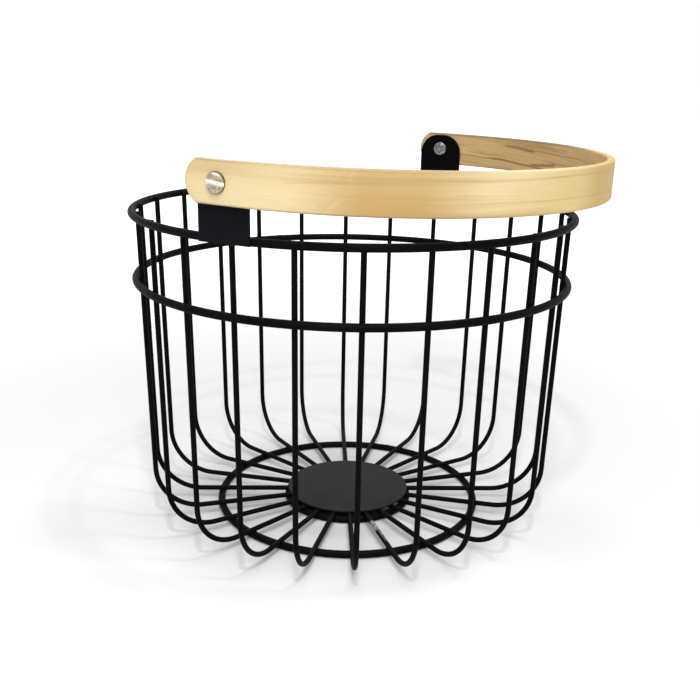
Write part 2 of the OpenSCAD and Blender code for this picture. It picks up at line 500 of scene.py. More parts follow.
# Streaks in the grain: where each starts and ends, its half width and its strength
OUTER_STREAKS = (
    ((-0.172, 0.0030), (-0.128, 0.0049), 0.0008, 0.30),
    ((-0.128, 0.0052), (-0.050, 0.0067), 0.0008, 0.35),
    ((-0.050, 0.0067), (-0.008, 0.0069), 0.0008, 0.35),
    ((-0.100, -0.0037), (-0.012, -0.0033), 0.0008, 0.35),
    ((0.080, 0.0058), (0.145, 0.0046), 0.0008, 0.35),
    ((0.145, 0.0046), (0.205, 0.0024), 0.0008, 0.30),
    ((0.095, -0.0034), (0.180, -0.0046), 0.0008, 0.35))
INNER_STREAKS = (
    ((0.212, -0.0022), (0.170, -0.0035), 0.0009, 0.55),
    ((0.170, -0.0035), (0.132, -0.0060), 0.0011, 0.85),
    ((0.162, 0.0052), (0.143, 0.0038), 0.0014, 0.80),
    ((0.143, 0.0039), (0.084, 0.0030), 0.0006, 0.60),
    ((0.140, -0.0042), (0.122, -0.0028), 0.0016, 0.85),
    ((-0.020, 0.0046), (-0.085, 0.0034), 0.0007, 0.60),
    ((-0.085, 0.0034), (-0.140, 0.0012), 0.0011, 0.70),
    ((-0.110, -0.0050), (-0.190, -0.0036), 0.0010, 0.60))


def streak(tree, along, across, wander, start, end, width, depth):
    """A line in the grain from one spot of a face to another."""
    slope = (end[1] - start[1]) / (end[0] - start[0])
    off = minus(tree, across, times(tree, along, slope))
    off = minus(tree, off, start[1] - slope * start[0])
    off = unsigned(tree, plus(tree, off, wander))
    line = ranged(tree, off, 0.15 * width, width, depth, 0.0)
    low = min(start[0], end[0])
    high = max(start[0], end[0])
    return times(tree, line, window(tree, along, low, high, 0.3 * (high - low)))


def end_rim(tree, along, across, end):
    """The eased rim of one rounded end of the band, where end grain shows."""
    centre = end - math.copysign(BAND_END_R, end)
    spot = tree.nodes.new("ShaderNodeCombineXYZ")
    tree.links.new(along, spot.inputs["X"])
    tree.links.new(across, spot.inputs["Y"])
    away = distance(tree, spot.outputs["Vector"], (centre, 0, 0))
    rim = ranged(tree, away, BAND_END_R - 0.0013, BAND_END_R - 0.0005, 0.0, 0.7)
    toward = times(tree, along, math.copysign(1, end))
    return times(tree, rim, ranged(tree, toward, abs(centre), abs(centre) + 0.002))


def wood_outside(tree, coords, along, across, broad, wander):
    """Straw at the front leg, gold where the bend starts, then warmer, with fine lines and flecks, and
    painted shade along part of the lower edge.
    """
    lines = drawn_noise(tree, coords, (5, 120, 330), detail=4, rough=0.55, warp=0.4)
    leaning = stretched(tree, coords, turn=(0, math.radians(48), 0))
    ripple = drawn_noise(tree, leaning, (90, 40, 420), detail=2)
    outer = mixed(tree, ranged(tree, broad, 0.3, 0.7), PALE_STRAW, STRAW)
    outer = mixed(tree, ranged(tree, lines, 0.50, 0.75, 0.0, 0.5), outer, LINE_TAN)
    golden = times(tree, ranged(tree, along, -0.180, -0.143), ranged(tree, along, -0.126, -0.082, 1.0, 0.0))
    golden = times(tree, golden, ranged(tree, across, -0.008, 0.009, 1.0, 0.78))
    outer = mixed(tree, golden, outer, GOLD)
    sloped = minus(tree, along, times(tree, across, 1.2))
    outer = mixed(tree, ranged(tree, sloped, -0.094, -0.042), outer, WARM_STRAW)
    honey = times(tree, ranged(tree, along, -0.040, -0.010), ranged(tree, along, 0.03, 0.08, 1.0, 0.2))
    outer = mixed(tree, honey, outer, HONEY)
    upper = ranged(tree, plus(tree, across, wander), 0.0015, 0.006)
    corner = times(tree, ranged(tree, along, -0.206, -0.182, 0.5, 0.0), upper)
    outer = mixed(tree, corner, outer, CORNER_TAN)
    calm = times(tree, wander, 0.35)
    for start, end, width, depth in OUTER_STREAKS:
        line = streak(tree, along, across, calm, start, end, width, depth)
        outer = mixed(tree, line, outer, OUTER_STREAK)
    bend_starts = window(tree, unsigned(tree, along), 0.110, 0.150, 0.04)
    figured = times(tree, ranged(tree, lines, 0.46, 0.66, 0.0, 0.42), bend_starts)
    outer = mixed(tree, figured, outer, FIGURE_BROWN)
    # Painted shade along part of the lower edge
    lower_edge_shade = times(tree, ranged(tree, across, -0.0096, -0.0055, 0.5, 0.0),
                       window(tree, along, -0.125, -0.070, 0.03))
    outer = mixed(tree, lower_edge_shade, outer, LOWER_EDGE_SHADE)
    flecks = times(tree, window(tree, along, -0.163, -0.152, 0.006),
                   ranged(tree, ripple, 0.42, 0.80, 0.0, 0.16))
    return mixed(tree, flecks, outer, FLECK_CREAM)


def wood_inside(tree, coords, along, across, broad, wander):
    """Tan with a flamed grain and dark brown streaks."""
    slanted = stretched(tree, coords, turn=(0, math.radians(4), 0))
    flame = drawn_noise(tree, slanted, (10, 40, 300), detail=5, rough=0.62, warp=1.1)
    inner = mixed(tree, ranged(tree, broad, 0.3, 0.7), PALE_TAN, TAN)
    inner = mixed(tree, ranged(tree, along, 0.095, 0.150, 0.9, 0.0), inner, BEND_TAN)
    inner = mixed(tree, times(tree, window(tree, along, 0.085, 0.104, 0.018), 0.5), inner, BEND_SHADE)
    inner = mixed(tree, ranged(tree, along, 0.163, 0.180, 0.0, 0.3), inner, REAR_LEG_TAN)
    inner = mixed(tree, ranged(tree, flame, 0.48, 0.66, 0.0, 0.65), inner, FLAME_BROWN)
    for start, end, width, depth in INNER_STREAKS:
        line = streak(tree, along, across, wander, start, end, width, depth)
        inner = mixed(tree, line, inner, INNER_STREAK)
    return inner


def wood_edges(tree, wood, along, across):
    """Browner narrow sides, painted shade on the far leg's upper edge and in a line along the front leg's
    eased upper edge, a painted pale highlight on the front leg's narrow upper side, and end grain at both
    rounded ends, with a painted grey highlight at the front one.
    """
    edge = ranged(tree, unsigned(tree, across), 0.0088, 0.0100)
    legs = ranged(tree, unsigned(tree, along), 0.07, 0.11, 0.15, 0.6)
    wood = mixed(tree, times(tree, edge, legs), wood, EDGE_BROWN)
    # Painted shade on the far leg's upper edge
    far_edge_shade = times(tree, ranged(tree, across, 0.0084, 0.0097), ranged(tree, along, 0.075, 0.125))
    wood = mixed(tree, times(tree, far_edge_shade, 0.85), wood, FAR_EDGE_SHADE)
    front_leg = ranged(tree, along, -0.207, -0.190, 0.6, 0.0)
    # Painted shade: a dark line along the middle of the front leg's eased upper edge
    eased = times(tree, window(tree, across, 0.0093, 0.0098, 0.0003), front_leg)
    wood = mixed(tree, eased, wood, EASED_EDGE_SHADE)
    # Painted highlight: a pale grey-lavender tone on the front leg's narrow upper side
    narrow_side_highlight = times(tree, ranged(tree, across, 0.0099, 0.0101), front_leg)
    wood = mixed(tree, narrow_side_highlight, wood, NARROW_SIDE_HIGHLIGHT)
    # The front end's rim: end grain with a painted grey highlight; the rear end's rim: end grain
    wood = mixed(tree, end_rim(tree, along, across, FRONT_END), wood, FRONT_END_GRAIN_AND_HIGHLIGHT)
    return mixed(tree, end_rim(tree, along, across, REAR_END), wood, REAR_END_GRAIN)


def bent_wood(name):
    """Pale bent wood: smooth and straw-coloured on its outside, tan with brown streaks on its inside."""
    finish, tree, shader = new_finish(name)
    stored = tree.nodes.new("ShaderNodeAttribute")
    stored.attribute_name = "grain"
    coords = stored.outputs["Vector"]
    along, thickness, across = parted(tree, coords)
    broad = drawn_noise(tree, coords, (16, 50, 70), detail=2)
    fibres = drawn_noise(tree, coords, (60, 2000, 2000), detail=3, rough=0.6)
    pores = drawn_noise(tree, coords, (260, 4200, 4200), detail=1)
    drift = drawn_noise(tree, coords, (40, 40, 120), detail=3)
    wander = ranged(tree, drift, 0.2, 0.8, -0.0009, 0.0009, soft=False)

    outer = wood_outside(tree, coords, along, across, broad, wander)
    inner = wood_inside(tree, coords, along, across, broad, wander)
    wood = mixed(tree, ranged(tree, thickness, 0.0004, 0.0018), outer, inner)
    wood = mixed(tree, ranged(tree, fibres, 0.45, 0.78, 0.0, 0.22), wood, FIBRE_TAN)
    wood = mixed(tree, ranged(tree, pores, 0.70, 0.78, 0.0, 0.25), wood, PORE_BROWN)
    wood = wood_edges(tree, wood, along, across)
    tree.links.new(wood, shader.inputs["Base Color"])
    tree.links.new(ranged(tree, fibres, 0.3, 0.7, 0.46, 0.62), shader.inputs["Roughness"])
    shader.inputs["Specular IOR Level"].default_value = 0.3
    relief = minus(tree, fibres, ranged(tree, pores, 0.68, 0.78))
    bumped(tree, shader, relief, strength=0.25, depth=0.0001)
    return finish


# Turned nickel of the pivots

SCREW_LIGHT = (0.54, 0.465, 0.335)
SCREW_DARK = (0.275, 0.23, 0.157)
BARREL_LIGHT = (0.26, 0.257, 0.237)
BARREL_DARK = (0.092, 0.091, 0.084)
# Painted glint on the barrels' faces
BARREL_GLINT = (0.62, 0.62, 0.60)
# Painted shade and painted highlight of the heads' rims
RIM_SHADE = (0.38, 0.33, 0.24)
RIM_HIGHLIGHT = (0.80, 0.73, 0.57)
BARREL_RIM = (0.22, 0.22, 0.215)
# Painted shade on the flanks
FLANK_SHADE = (0.19, 0.155, 0.105)
# Painted highlight on flat faces, which shows in the screws' slots
FLAT_HIGHLIGHT = (0.90, 0.85, 0.72)
# Painted highlights on the slot lips and the glint, and painted shade in the dark upper outline of the
# screws' heads
LIP_HIGHLIGHT = (0.90, 0.86, 0.75)
GLINT_BRIGHT = (0.97, 0.94, 0.84)
OUTLINE_SHADE = (0.15, 0.13, 0.075)
# Spots of the painted glints on the barrels' faces
BARREL_GLINT_SPOTS = ((0.0014, 0, 0.0027), (0.0031, 0, -0.0021))
SCREW_BACK = TAB_IN_Y + BARREL_L
SCREW_FACE = SCREW_BACK + SCREW_HEAD_H


def lathe_rings(tree, centred):
    """Fine turning marks about the pivots' axis."""
    made = tree.nodes.new("ShaderNodeTexWave")
    made.wave_type = "RINGS"
    made.rings_direction = "Y"
    made.inputs["Scale"].default_value = 900
    made.inputs["Distortion"].default_value = 1.5
    made.inputs["Detail"].default_value = 2
    tree.links.new(centred, made.inputs["Vector"])
    return made.outputs["Fac"]


def screw_marks(tree, skin, on_screw, left, height, radius):
    """Painted light on the screws' heads: highlights on the slot lips and a glint, and painted shade in a
    dark upper outline.
    """
    from_slot = minus(tree, times(tree, height, math.cos(SLOT_TURN)), times(tree, left, math.sin(SLOT_TURN)))
    # Painted highlight along the slot's lips
    lips = times(tree, ranged(tree, radius, 0.0045, 0.0047, 0.75, 0.0),
                 ranged(tree, unsigned(tree, from_slot), 0.00085, 0.00115, 1.0, 0.0))
    skin = mixed(tree, times(tree, on_screw, lips), skin, LIP_HIGHLIGHT)
    # Painted glint on the upper rim of the face
    raised = minus(tree, height, times(tree, left, 0.30))
    glint = times(tree, ranged(tree, raised, 0.0035, 0.0039), window(tree, left, -0.0026, 0.0010, 0.0008))
    skin = mixed(tree, times(tree, on_screw, glint), skin, GLINT_BRIGHT)
    # Painted shade: a dark outline along the upper rim
    outline = times(tree, ranged(tree, radius, 0.0044, 0.0047), ranged(tree, height, 0.0005, 0.0030))
    return mixed(tree, times(tree, on_screw, outline), skin, OUTLINE_SHADE)


def turned_nickel(name):
    """Nickel plate over turned steel: speckled faces, with painted light: rims with a painted highlight
    above and painted shade below, painted shade on the flanks, a painted highlight on flat faces in the
    slots, and painted glints on the barrels.
    """
    finish, tree, shader = new_finish(name)
    coords = tree.nodes.new("ShaderNodeTexCoord").outputs["Object"]
    facing = parted(tree, tree.nodes.new("ShaderNodeNewGeometry").outputs["Normal"])
    centred = stretched(tree, coords, shift=(0, 0, -PIVOT_Z))
    sideways, inward, height = parted(tree, centred)
    left = times(tree, sideways, combined(tree, "SIGN", inward))
    off_axis = stretched(tree, centred, scale=(1, 0, 1))
    radius = distance(tree, off_axis, (0, 0, 0))
    from_middle = unsigned(tree, inward)
    flat = unsigned(tree, facing[1])
    on_screw = ranged(tree, from_middle, SCREW_BACK - 0.0002, SCREW_BACK)
    at_screw_face = ranged(tree, from_middle, SCREW_FACE - 0.0003, SCREW_FACE - 0.0001)
    on_barrel = ranged(tree, from_middle, TAB_IN_Y - 0.0002, TAB_IN_Y, 1.0, 0.0)
    bloom = noise(tree, coords, 900, detail=4, rough=0.65)
    scoring = stretched(tree, coords, scale=(300, 300, 3500), turn=(0, 0.6, 0))
    scratches = noise(tree, scoring, 1, detail=2)

    speckles = ranged(tree, bloom, 0.38, 0.62)
    screw_grey = mixed(tree, speckles, SCREW_LIGHT, SCREW_DARK)
    barrel_grey = mixed(tree, speckles, BARREL_LIGHT, BARREL_DARK)
    # Painted glints: two bright spots on each barrel's face
    for glint_spot in BARREL_GLINT_SPOTS:
        near_glint = ranged(tree, distance(tree, off_axis, glint_spot), 0.0003, 0.0009, 0.9, 0.0)
        barrel_grey = mixed(tree, near_glint, barrel_grey, BARREL_GLINT)
    # Painted highlight on the rims where they face up, painted shade where they face down
    highlight_facing = minus(tree, facing[2], times(tree, facing[0], 0.9))
    rim = mixed(tree, ranged(tree, highlight_facing, 0.30, 0.62), RIM_SHADE, RIM_HIGHLIGHT)
    rim = mixed(tree, on_barrel, rim, BARREL_RIM)
    # Painted shade on the flanks
    skin = mixed(tree, ranged(tree, flat, 0.15, 0.45, 1.0, 0.0), rim, FLANK_SHADE)
    # Painted highlight on flat faces, which stays in the screws' slots
    skin = mixed(tree, ranged(tree, flat, 0.90, 0.97), skin, FLAT_HIGHLIGHT)
    screw_flat = times(tree, at_screw_face, ranged(tree, flat, 0.90, 0.97))
    skin = mixed(tree, screw_flat, skin, screw_grey)
    barrel_flat = times(tree, on_barrel, ranged(tree, flat, 0.80, 0.95))
    skin = mixed(tree, barrel_flat, skin, barrel_grey)
    skin = screw_marks(tree, skin, on_screw, left, height, radius)
    tree.links.new(skin, shader.inputs["Base Color"])
    shader.inputs["Metallic"].default_value = 1.0
    tree.links.new(ranged(tree, bloom, 0.3, 0.7, 0.26, 0.44), shader.inputs["Roughness"])
    relief = plus(tree, lathe_rings(tree, centred), ranged(tree, scratches, 0.6, 0.75))
    bumped(tree, shader, relief, strength=0.12, depth=0.00006)
    return finish


wire_black = powder_coat("wire_black_powder", **WIRE_COAT)[0]
wire_chipped = chipped_powder_coat("wire_black_powder_chipped", **WIRE_COAT)
tab_black = tab_coat("tab_black_powder", **TAB_COAT)
disc_charcoal = powder_coat("disc_charcoal_powder", **DISC_COAT)[0]
blonde_wood = bent_wood("blonde_bent_wood")
nickel = turned_nickel("nickel_turned")


# Rings of round wire, each closed with a ground butt weld

def wire_ring(name, radius, height, weld_turn):
    deselect()
    bpy.ops.mesh.primitive_torus_add(major_radius=radius, minor_radius=RING_WIRE / 2,
                                     major_segments=RING_STEPS, minor_segments=RING_SIDES,
                                     location=(0, 0, height))
    ring = named(name)
    toward = Vector((math.cos(weld_turn), math.sin(weld_turn), 0))
    across = Vector((-toward.y, toward.x, 0))
    seam = toward * radius + Vector((0, 0, height))
    underside = seam - Vector((0, 0, RING_WIRE / 2))
    for step in SEAM_CUTS:
        pick(ring, "FACE", lambda face: (face.calc_center_median() - seam).length < CUT_REACH)
        bpy.ops.mesh.bisect(plane_co=seam + across * step, plane_no=across)
    for step, swell in SEAM_SWELLS:
        pick(ring, "VERT", lambda corner: (corner.co - seam).length < SWELL_REACH
             and abs((corner.co - seam).dot(across) - step) < NEARBY)
        bpy.ops.transform.resize(value=(swell, swell, swell), center_override=underside)
    close_up(ring)
    return ring


for name, node, radius, height, weld_turn in (
        ("rim_wire_ring", "rim_ring", RIM_R, RIM_Z, math.radians(127)),
        ("belly_wire_ring", "belly_ring", BELLY_R, BELLY_Z, math.radians(142)),
        ("foot_wire_ring", "foot_ring", FOOT_R, GROUND_Z, math.radians(97)),
        ("hub_wire_ring", "hub_ring", HUB_R, GROUND_Z, math.radians(112))):
    fit(wire_ring(name, radius, height, weld_turn), "basket", wire_black, "black_wire", node)


# Ribs of thinner wire: a floor run, a bend, a leaning side and a chamfered end

def rib_name(number):
    return f"rib_wire_{number:02d}"


def bent_rib():
    deselect()
    bpy.ops.mesh.primitive_circle_add(vertices=RIB_SIDES, radius=RIB_WIRE / 2, fill_type="NGON",
                                      location=(RIB_IN_R, 0, RIB_Z), rotation=(0, math.pi / 2, 0))
    rib = named(rib_name(FIRST_RIB))
    pick_all()
    draw_to((BEND_START_R - RIB_IN_R, 0, 0))
    bend_centre = Vector((BEND_START_R, 0, RIB_Z + BEND_R))
    bpy.ops.mesh.spin(steps=BEND_STEPS, angle=math.pi / 2 - RIB_LEAN, center=bend_centre, axis=(0, 1, 0))
    up = Vector((math.sin(RIB_LEAN), 0, math.cos(RIB_LEAN)))
    outward = Vector((math.cos(RIB_LEAN), 0, -math.sin(RIB_LEAN)))
    draw_to(up * (RIB_SIDE - RIB_CHAMFER))
    draw_to(up * RIB_CHAMFER)
    tip = bend_centre + outward * BEND_R + up * RIB_SIDE
    narrow = 1 - RIB_CHAMFER / (RIB_WIRE / 2)
    bpy.ops.transform.resize(value=(narrow, narrow, narrow), center_override=tip)
    close_up(rib, smooth_angle=35)
    return rib


first_rib = bent_rib()
for number in range(1, RIB_COUNT + 1):
    rib = first_rib
    if number != FIRST_RIB:
        turn = math.radians((number - FIRST_RIB) * 360 / RIB_COUNT)
        rib = turned_copy(first_rib, rib_name(number), turn)
    coat = wire_chipped if number == CHIPPED_RIB else wire_black
    fit(rib, "basket", coat, "black_wire", f"rib_{number:02d}")


# Weld nuggets squeezed out where the ribs cross the rings

def weld_nuggets(name, place, size):
    deselect()
    bpy.ops.mesh.primitive_uv_sphere_add(segments=10, ring_count=6, radius=NUGGET_R, location=place)
    nugget = named(name)
    pick_all()
    bpy.ops.transform.resize(value=size, center_override=place)
    close_up(nugget, smooth_angle=60)
    copies = [nugget]
    for number in range(1, RIB_COUNT):
        copies.append(turned_copy(nugget, f"{name}_{number}", math.radians(number * 360 / RIB_COUNT)))
    return joined(copies)


weld_in = RING_WIRE / 2 - WELD_SINK / 2
for name, place, size in (
        ("rim_welds", Vector((RIM_R - weld_in, 0, RIM_Z)), STANDING_NUGGET),
        ("belly_welds", Vector((BELLY_R - weld_in, 0, BELLY_Z)), STANDING_NUGGET),
        ("foot_welds", Vector((FOOT_R, 0, GROUND_Z + weld_in)), LYING_NUGGET),
        ("hub_welds", Vector((HUB_R, 0, GROUND_Z + weld_in)), LYING_NUGGET)):
    fit(weld_nuggets(name, place, size), "basket", wire_black, "black_wire")


# The stamped disc on the floor ribs

def floor_disc():
    deselect()
    bpy.ops.mesh.primitive_cylinder_add(vertices=DISC_SIDES, radius=DISC_R, depth=DISC_T,
                                        end_fill_type="NGON", location=(0, 0, DISC_Z + DISC_T / 2))
    disc = named("stamped_floor_disc")
    top = DISC_Z + DISC_T
    pick(disc, "EDGE", lambda edge: all(abs(corner.co.z - top) < TOUCHING for corner in edge.verts))
    bpy.ops.mesh.bevel(offset=DISC_TOP_EDGE, segments=4, profile=0.5, affect="EDGES")
    pick(disc, "EDGE", lambda edge: all(abs(corner.co.z - DISC_Z) < TOUCHING for corner in edge.verts))
    bpy.ops.mesh.bevel(offset=DISC_UNDER_EDGE, segments=2, profile=0.5, affect="EDGES")
    pick(disc, "FACE", lambda face: abs(face.normal.z) > FACING and face.calc_area() > MAIN_FACE)
    bpy.ops.mesh.inset(thickness=DISC_INSET)
    close_up(disc, smooth_angle=30)
    return disc


fit(floor_disc(), "basket", disc_charcoal, "black_disc", "centre_disc")


# The tabs that carry the handle, welded to the outside of the rim

def handle_tab():
    deselect()
    bpy.ops.mesh.primitive_cube_add(size=1, scale=(TAB_W, TAB_T, TAB_H + TAB_DROP),
                                    location=(0, -TAB_IN_Y - TAB_T / 2, RIM_Z + (TAB_H - TAB_DROP) / 2))
    tab = named("front_handle_tab")
    top = RIM_Z + TAB_H
    pick(tab, "EDGE", lambda edge: abs(edge.verts[0].co.y - edge.verts[1].co.y) > TAB_T / 2
         and middle(edge).z > top - NEARBY)
    bpy.ops.mesh.bevel(offset=TAB_CORNER, segments=16, profile=0.5, affect="EDGES")
    pick(tab, "EDGE", lambda edge: abs(edge.verts[0].co.y - edge.verts[1].co.y) < TOUCHING)
    bpy.ops.mesh.bevel(offset=TAB_EDGE, segments=3, profile=0.5, affect="EDGES")
    pick(tab, "FACE", lambda face: abs(face.normal.y) > FACING and face.calc_area() > MAIN_FACE)
    bpy.ops.mesh.inset(thickness=TAB_INSET)
    leave_edit()
    deselect()
    bpy.ops.mesh.primitive_cylinder_add(vertices=PIVOT_SIDES, radius=BORE_D / 2, depth=TAB_CUTTER_L,
                                        location=(0, -TAB_IN_Y, PIVOT_Z), rotation=(math.pi / 2, 0, 0))
    cut_away(tab, named("tab_hole_cutter"))
    close_up(tab, smooth_angle=30)
    return tab


def tab_weld():
    """A short rippled bead under the tab, where it touches the rim."""
    place = Vector((BEAD_START, -TAB_IN_Y - BEAD_OUT, RIM_Z - TAB_DROP))
    deselect()
    bpy.ops.mesh.primitive_uv_sphere_add(segments=12, ring_count=8, radius=BEAD_R, location=place)
    bead = named("front_tab_weld")
    pick_all()
    bpy.ops.transform.resize(value=BEAD_SHAPE, center_override=place)
    close_up(bead, smooth_angle=60)
    ripples = [bead]
    for number in range(1, BEAD_RIPPLES):
        ripples.append(moved_copy(bead, f"front_tab_weld_{number}", (BEAD_STEP * number, 0, 0)))
    return joined(ripples)


front_tab = handle_tab()
front_bead = tab_weld()
rear_tab = turned_copy(front_tab, "rear_handle_tab", math.pi)
rear_bead = turned_copy(front_bead, "rear_tab_weld", math.pi)
fit(front_tab, "basket", tab_black, "black_tab", "tab_front")
fit(rear_tab, "basket", tab_black, "black_tab", "tab_rear")
fit(front_bead, "basket", wire_black, "black_wire")
fit(rear_bead, "basket", wire_black, "black_wire")


# The bentwood band: planed flat, ends rounded, edges eased, bored, then bent to a half round

def planed_band():
    """A flat board with fine rows of corners at both ends and one whole face on each side."""
    deselect()
    bpy.ops.mesh.primitive_cube_add(size=1, scale=(BAND_LENGTH, BAND_T, BAND_W),
                                    location=((FRONT_END + REAR_END) / 2, 0, 0))
    band = named("bentwood_band")
    pick(band, "EDGE", lambda edge: abs(edge.verts[0].co.z - edge.verts[1].co.z) > BAND_W / 2)
    bpy.ops.mesh.subdivide(number_cuts=END_ROWS - 1)
    pick(band, "EDGE", lambda edge: abs(edge.verts[0].co.x - edge.verts[1].co.x) > BAND_LENGTH / 2
         and abs(middle(edge).z) < BAND_W / 2 - NEARBY)
    bpy.ops.mesh.dissolve_edges(use_verts=False, use_face_split=False)
    leave_edit()
    return band


def round_end(band, end_x, inward):
    """Draws the corners of one end in to an arc, row by row."""
    for number in range(END_ROWS + 1):
        row = BAND_W * (number / END_ROWS - 0.5)
        arc = BAND_END_R - math.sqrt(BAND_END_R ** 2 - row ** 2)
        pick(band, "VERT", lambda corner: abs(corner.co.z - row) < NEARBY
             and inward * (corner.co.x - end_x) < BAND_LENGTH / 2)
        bpy.ops.transform.translate(value=(inward * arc, 0, 0))
        leave_edit()


def cut_columns(band):
    """Cuts the bending part of the band across, so that it can bend."""
    hold(band)
    for number in range(COLUMNS + 1):
        pick_all()
        place = (HALF_BEND * (2 * number / COLUMNS - 1), 0, 0)
        bpy.ops.mesh.bisect(plane_co=place, plane_no=(1, 0, 0))
    leave_edit()


def bore_band(band, bore_x):
    deselect()
    bpy.ops.mesh.primitive_cylinder_add(vertices=PIVOT_SIDES, radius=BORE_D / 2, depth=BAND_CUTTER_L,
                                        location=(bore_x, 0, 0), rotation=(math.pi / 2, 0, 0))
    cut_away(band, named("band_bore_cutter"))


def mark_grain(band):
    """Keeps each corner's place on the flat band, so that the grain follows the bend."""
    grain = band.data.attributes.new("grain", "FLOAT_VECTOR", "POINT")
    for number, corner in enumerate(band.data.vertices):
        grain.data[number].vector = corner.co


def bend_band(band):
    """Bends the band to a half round, and turns and lifts it to its place on the pivots."""
    hold(band)
    bpy.ops.object.modifier_add(type="SIMPLE_DEFORM")
    bend = band.modifiers[-1]
    bend.deform_method = "BEND"
    bend.deform_axis = "Z"
    bend.angle = math.pi
    bend.limits = ((BAND_LEG + FRONT_TAIL) / BAND_LENGTH, 1 - (BAND_LEG + REAR_TAIL) / BAND_LENGTH)
    bpy.ops.object.modifier_apply(modifier=bend.name)
    band.rotation_euler = (0, 0, math.pi / 2)
    band.location = (BAND_LEG + BAND_SPAN_R, 0, 0)
    bpy.ops.object.transform_apply(location=True, rotation=True, scale=True)
    band.rotation_euler = (0, BAND_TILT, 0)
    band.location = (0, 0, PIVOT_Z)
    bpy.ops.object.transform_apply(location=True, rotation=True, scale=True)


def wood_band():
    band = planed_band()
    round_end(band, FRONT_END, 1)
    round_end(band, REAR_END, -1)
    pick(band, "EDGE", lambda edge: len(edge.link_faces) == 2
         and edge.link_faces[0].normal.angle(edge.link_faces[1].normal) > HARD_EDGE)
    bpy.ops.mesh.bevel(offset=BAND_EDGE, segments=5, profile=0.5, affect="EDGES")
    pick(band, "FACE", lambda face: abs(face.normal.y) > FACING and face.calc_area() > MAIN_FACE)
    bpy.ops.mesh.inset(thickness=BAND_INSET)
    leave_edit()
    cut_columns(band)
    bore_band(band, FRONT_END + FRONT_TAIL)
    bore_band(band, REAR_END - REAR_TAIL)
    close_up(band, smooth_angle=35)
    mark_grain(band)
    bend_band(band)
    close_up(band, smooth_angle=35)
    return band


fit(wood_band(), "handle", blonde_wood, "blonde_wood", "bentwood_handle")


# Barrels and slotted screws of the two pivots

def slot_cutter(out_y, head_d):
    deselect()
    bpy.ops.mesh.primitive_cube_add(size=1, location=(0, out_y, PIVOT_Z), rotation=(0, SLOT_TURN, 0),
                                    scale=(2 * head_d, 2 * SLOT_DEPTH, SLOT_W))
    return named("slot_cutter")


def round_face(face, at_y):
    """Tells whether a face is a whole round one at a place along Y."""
    return len(face.verts) >= ROUND_FACE_SIDES and abs(face.calc_center_median().y - at_y) < TOUCHING


def round_head(name, head_d, head_h, back_y, outward):
    """A turned head with a rounded rim, standing on back_y and facing outward along Y."""
    deselect()
    face_y = back_y + outward * head_h
    bpy.ops.mesh.primitive_cylinder_add(vertices=PIVOT_SIDES, radius=head_d / 2, depth=head_h,
                                        location=(0, (back_y + face_y) / 2, PIVOT_Z),
                                        rotation=(math.pi / 2, 0, 0))
    head = named(name)
    pick(head, "EDGE", lambda edge: all(abs(corner.co.y - face_y) < TOUCHING for corner in edge.verts))
    bpy.ops.mesh.bevel(offset=HEAD_EDGE, segments=5, profile=0.5, affect="EDGES")
    pick(head, "FACE", lambda face: round_face(face, face_y))
    bpy.ops.mesh.inset(thickness=HEAD_INSET)
    return head, face_y


def step_out(head, from_y, over_d, new_d, travel):
    """Insets the round face at from_y and draws it out, or sinks it, along Y."""
    pick(head, "FACE", lambda face: abs(face.normal.y) > FACING and round_face(face, from_y))
    bpy.ops.mesh.inset(thickness=(over_d - new_d) / 2)
    draw_to((0, travel, 0))


def front_screw():
    back_y = -TAB_IN_Y - BARREL_L
    screw, face_y = round_head("front_slotted_screw", SCREW_HEAD_D, SCREW_HEAD_H, back_y, -1)
    step_out(screw, back_y, SCREW_HEAD_D, SHANK_D, SHANK_L)
    leave_edit()
    cut_away(screw, slot_cutter(face_y, SCREW_HEAD_D))
    close_up(screw, smooth_angle=30)
    return screw


def front_barrel():
    back_y = -TAB_IN_Y
    barrel, face_y = round_head("front_pivot_barrel", BARREL_HEAD_D, BARREL_HEAD_H, back_y, 1)
    step_out(barrel, back_y, BARREL_HEAD_D, BARREL_D, -BARREL_L)
    step_out(barrel, back_y - BARREL_L, BARREL_D, SHANK_D + SHANK_PLAY, BORE_L)
    leave_edit()
    cut_away(barrel, slot_cutter(face_y, BARREL_HEAD_D))
    close_up(barrel, smooth_angle=30)
    return barrel


screw = front_screw()
barrel = front_barrel()
fit(turned_copy(screw, "rear_slotted_screw", math.pi), "basket", nickel, "nickel", "screw_rear")
fit(turned_copy(barrel, "rear_pivot_barrel", math.pi), "basket", nickel, "nickel", "barrel_rear")
fit(screw, "basket", nickel, "nickel", "screw_front")
fit(barrel, "basket", nickel, "nickel", "barrel_front")


# Floor, air, lamps and camera

WHITE_PAPER = (0.71, 0.71, 0.71)
SHADED_PAPER = (0.10, 0.10, 0.10)
GLOW_CENTRE = (-0.010, -0.016, 0)
AIR_LIGHT = 0.42
AIR_SEEN = 1.0

# Soft patches of more or less light on the floor: across, along, radius and strength
FLOOR_PATCHES = (
    (-0.055, 0.000, 0.035, 0.13),
    (0.055, 0.000, 0.035, 0.12),
    (0.118, 0.020, 0.070, -0.07),
    (0.045, -0.100, 0.060, 0.05),
    (-0.110, -0.110, 0.060, -0.08))

# The camera's place, its turns in degrees and its lens in millimetres
CAMERA_PLACE = (0.2423, -0.4647, 0.2516)
CAMERA_HEADING = 27.568
CAMERA_FALL = 16.649
CAMERA_ROLL = 1.198
CAMERA_LENS = 47.21
CAMERA_SENSOR = 36


def seen_rays(tree):
    """One where the camera looks, straight or in a reflection."""
    rays = tree.nodes.new("ShaderNodeLightPath")
    seen = combined(tree, "MAXIMUM", rays.outputs["Is Camera Ray"], rays.outputs["Is Glossy Ray"])
    return combined(tree, "MAXIMUM", seen, rays.outputs["Is Transmission Ray"])


